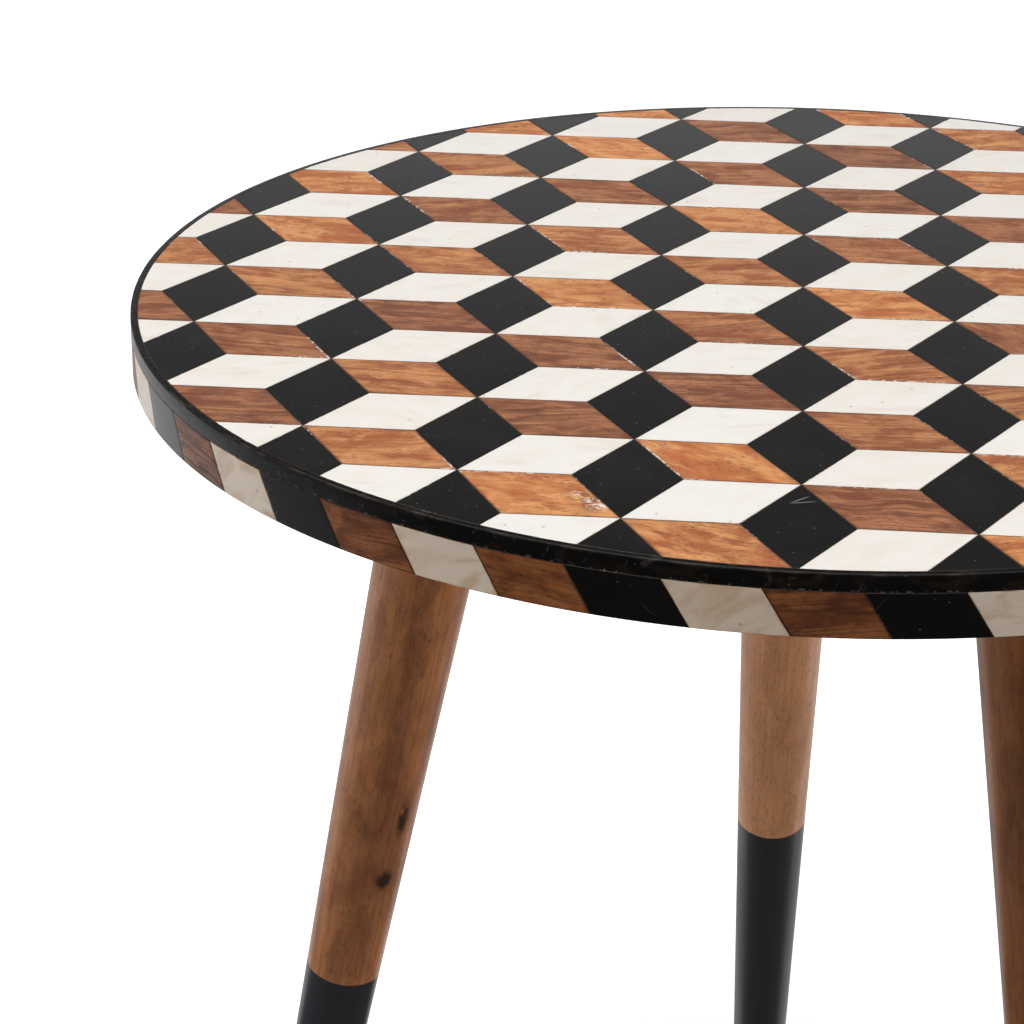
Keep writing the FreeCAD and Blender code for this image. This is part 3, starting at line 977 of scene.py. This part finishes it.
def board(name):
    """Raw sanded board: fibre specks and a warm mottle."""
    s = Surface(name)
    place = s.object_place()
    mottle = s.between(s.cloud(place, 0.04, 3.0), 0.35, 0.7)
    colour = s.mixed(mottle, BOARD_LIGHT, BOARD_DARK)
    fibres = s.between(s.cloud(place, (0.002, 0.0007, 0.0011), 2.0), 0.55, 0.7)
    colour = s.mixed(s.times(fibres, 0.5), colour, FIBRE)
    s.bump(s.times(fibres, -1.0), GRAIN_RELIEF)
    return s.finish(colour, s.between(mottle, 0.0, 1.0, 0.7, 0.85))


def coated_steel(name):
    """Black powder coat with its fine orange-peel."""
    s = Surface(name)
    place = s.object_place()
    peel = s.cloud(place, 0.0011, 2.0)
    colour = s.mixed(peel, COAT_DARK, COAT_LIGHT)
    s.bump(peel, GRAIN_RELIEF)
    return s.finish(colour, s.between(peel, 0.3, 0.7, 0.38, 0.52))


def zinc_steel(name, place_of):
    """Zinc-plated steel: cloudy plating and fine tool lines."""
    s = Surface(name)
    place = place_of(s)
    clouds = s.between(s.cloud(place, 0.003, 3.0), 0.35, 0.65)
    colour = s.mixed(clouds, ZINC_BRIGHT, ZINC_DULL)
    s.bump(s.cloud(place, (0.003, 0.003, 0.0002), 2.0), FINE_RELIEF)
    return s.finish(colour, s.between(clouds, 0.0, 1.0, 0.26, 0.4), Metallic=1.0)


def nylon(name):
    """Black nylon, scuffed where it slides."""
    s = Surface(name)
    place = s.grain()
    scuffs = s.scratches(place, 0.3)
    grit = s.cloud(place, 0.0007, 2.0)
    colour = s.mixed(s.times(scuffs, 0.4), NYLON_BLACK, NYLON_SCUFF)
    s.bump(s.plus(grit, s.times(scuffs, -1.0)), GRAIN_RELIEF)
    return s.finish(colour, s.between(grit, 0.3, 0.7, 0.5, 0.65))


def dress(node, material):
    """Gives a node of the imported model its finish."""
    held = frame["nodes"][node].data.materials
    held.clear()
    held.append(material)


# Table

def build_top():
    black = black_resin("black_resin_finish")
    joints = joint_resin("joint_resin_finish")
    top_white = white_resin("top_white_finish", TOP_WHITE_FRESH, TOP_WHITE_AGED, TOP_STAIN)
    top_wood = inlay_wood("top_wood_finish", TOP_WOOD_LIGHT, TOP_WOOD_DARK, PORE, TOP_LINED, CHIPS)
    outlines = inlay_tiles("white", top_white, "white_resin")
    outlines += inlay_tiles("wood", top_wood, "tile_wood")
    outlines += inlay_tiles("black", black, "black_resin")
    inlay_joints(outlines, joints)
    rim_ring(rim_resin("rim_resin_finish"))
    # Darker edge copy of the white resin: painted shade of the side faces
    shaded_edge_white = white_resin("edge_white_shaded_finish", SHADED_EDGE_WHITE_FRESH, SHADED_EDGE_WHITE_AGED, EDGE_STAIN)
    # Darker edge copy of the tile wood: painted shade of the side faces
    shaded_edge_wood = inlay_wood("edge_wood_shaded_finish", SHADED_EDGE_WOOD_LIGHT, SHADED_EDGE_WOOD_DARK, SHADED_EDGE_PORE, EDGE_LINED)
    edge_tiles({"white": shaded_edge_white, "wood": shaded_edge_wood, "black": black})
    edge_joints(joints)
    dress("top_core", board("board_finish"))


def build_legs():
    thread = zinc_steel("thread_finish", Surface.grain)
    zinc = zinc_steel("zinc_finish", Surface.object_place)
    coat = coated_steel("plate_finish")
    glide = nylon("glide_finish")
    for number, (pale, deep, knots) in LEG_LOOKS.items():
        turned_leg(number, leg_wood(f"leg_{number}_finish", pale, deep, knots))
        hanger_bolt(number, thread)
        foot_glide(number, glide)
        dress(f"leg_plate_{number}", coat)
        dress(f"plate_screws_{number}", zinc)
        dress(f"leg_washer_{number}", zinc)


# Studio

def floor_finish():
    """White floor that gives off light of its own, less under the table: a painted shade pool there,
    over the real soft shadow.
    """
    s = Surface("floor_finish")
    shade = s.cloud(s.object_place(), FLOOR_CLOUD, 2.0)
    colour = s.mixed(shade, FLOOR_DIM, FLOOR_BRIGHT)
    away = s.node("VectorMath", {0: s.object_place()}, operation="LENGTH").outputs["Value"]
    # Glow dimmed towards the middle: painted shade under the table
    glow = s.between(away, GLOW_START, GLOW_END, PAINTED_SHADE_GLOW, GLOW_FAR)
    s.feed(s.shader.inputs["Emission Strength"], glow)
    s.shader.inputs["Emission Color"].default_value = FLOOR_GLOW
    return s.finish(colour, 0.9, Specular_IOR_Level=0.0)


def build_floor():
    """Round floor and wall in one sweep, for the camera only, so it neither fills nor blocks light."""
    profile = [(FLOOR_RADIUS, 0.0)]
    for step in range(1, FLOOR_BEND_STEPS + 1):
        angle = math.radians(90.0 * step / FLOOR_BEND_STEPS)
        reach = FLOOR_RADIUS + FLOOR_BEND * math.sin(angle)
        profile.append((reach, FLOOR_BEND * (1 - math.cos(angle))))
    profile.append((FLOOR_RADIUS + FLOOR_BEND, WALL_HEIGHT))
    turns = [heading(side * 360.0 / FLOOR_SIDES) for side in range(FLOOR_SIDES)]
    rings = []
    for radius, height in profile:
        rings.append([(turn * radius).to_3d() + Vector((0, 0, height - FLOOR_DROP)) for turn in turns])
    bm = bmesh.new()
    rows = add_skin(bm, rings)
    bm.faces.new(rows[0])
    for face in bm.faces:
        face.smooth = True
    mesh = bpy.data.meshes.new("floor")
    bm.to_mesh(mesh)
    bm.free()
    mesh.set_sharp_from_angle(angle=math.radians(FLOOR_SMOOTHING))
    mesh.materials.append(floor_finish())
    floor = bpy.data.objects.new("floor", mesh)
    bpy.context.scene.collection.objects.link(floor)
    floor.visible_diffuse = False
    floor.visible_glossy = False
    floor.visible_shadow = False
    floor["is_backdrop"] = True


def panel_light(name, place, size, radiance, colour, aim=LIGHT_AIM, reflected=True):
    """Soft rectangular light that faces the aim point; radiance is that of its face."""
    width, height = size
    light = bpy.data.lights.new(name, "AREA")
    light.shape = "RECTANGLE"
    light.size = width
    light.size_y = height
    light.energy = radiance * math.pi * width * height
    light.color = colour
    lamp = bpy.data.objects.new(name, light)
    lamp.location = place
    lamp.rotation_euler = (Vector(aim) - Vector(place)).to_track_quat("-Z", "Y").to_euler()
    lamp.visible_camera = False
    lamp.visible_glossy = reflected
    bpy.context.scene.collection.objects.link(lamp)


def sweep_light(name, x, y, size, radiance, colour, reflected=True):
    """Panel just below the floor that shines straight up, as white paper on it would."""
    place = (x, y, SWEEP_LEVEL)
    panel_light(name, place, size, radiance, colour, (x, y, SWEEP_AIM_LEVEL), reflected)


def build_light():
    """Soft box overhead, dimmer panels around and sweeps of light from the floor."""
    panel_light("overhead", (-0.2, -0.25, 2.1), (2.2, 2.0), 3.0, NEUTRAL)
    panel_light("left", (-2.0, 0.2, 0.45), (2.2, 1.6), 1.35, BLUISH, reflected=False)
    panel_light("right", (2.0, 0.2, 0.4), (2.2, 1.5), 1.35, WARM_WHITE, reflected=False)
    panel_light("front", (0.7, -2.4, 0.8), (2.4, 1.0), 0.5, WARM, reflected=False)
    panel_light("back", (0.0, 2.6, 0.8), (3.2, 0.85), 0.5, COOL_WHITE)
    panel_light("back_left", (-1.7, 1.9, 0.35), (1.6, 0.9), 0.9, COOL)
    sweep_light("sweep", 0.0, 1.5, (4.4, 2.6), 0.8, COOL_WHITE)
    sweep_light("sweep_left", -1.6, -0.2, (1.4, 0.8), 0.75, COOL_WHITE)
    sweep_light("bounce", 0.0, -0.9, (4.4, 2.2), 0.5, PEACH, reflected=False)
    world = bpy.data.worlds.new("studio")
    world.use_nodes = True
    world.node_tree.nodes["Background"].inputs["Color"].default_value = SURROUNDINGS
    bpy.context.scene.world = world


def build_camera():
    view = bpy.data.cameras.new("camera")
    view.lens = CAMERA_LENS
    view.sensor_width = CAMERA_SENSOR
    camera = bpy.data.objects.new("camera", view)
    camera.location = CAMERA_EYE
    turn = (CAMERA_AIM - CAMERA_EYE).to_track_quat("-Z", "Y")
    camera.rotation_euler = turn.to_euler()
    camera.rotation_euler.rotate_axis("Z", math.radians(CAMERA_ROLL))
    bpy.context.scene.collection.objects.link(camera)
    bpy.context.scene.camera = camera


def write_sizes():
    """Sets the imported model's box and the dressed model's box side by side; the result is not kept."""
    boxes = {"cad": CAD_BOX, "visual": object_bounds()}
    {name: [list(corner) for corner in box] for name, box in boxes.items()}


build_top()
build_legs()
build_floor()
build_light()
build_camera()
bpy.context.scene.view_settings.view_transform = "Standard"
write_sizes()
